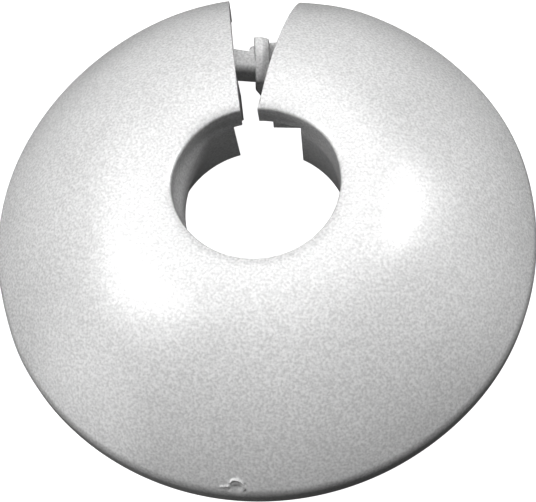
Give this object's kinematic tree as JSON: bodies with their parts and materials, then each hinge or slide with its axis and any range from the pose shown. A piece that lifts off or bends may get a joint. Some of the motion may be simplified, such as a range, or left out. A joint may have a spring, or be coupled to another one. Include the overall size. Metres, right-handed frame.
{
  "type": "pipe rosette",
  "caption": "Domed white ring that covers the hole where a heating pipe leaves a wall or floor, with a V-shaped split, a bore collar and a snap latch under the split.",
  "frame": {"origin": "bore axis at the plane of the rim's resting edge", "axes": "+Z along the bore, out of the domed face; +Y towards the split; +X to the right of the split seen from the domed face with the split at the top"},
  "size_m": [0.055, 0.0548, 0.0114],
  "materials": {
    "white_plastic": "semi-gloss moulded"
  },
  "bodies": {
    "root": {"rosette": "white_plastic"}
  },
  "joints": []
}
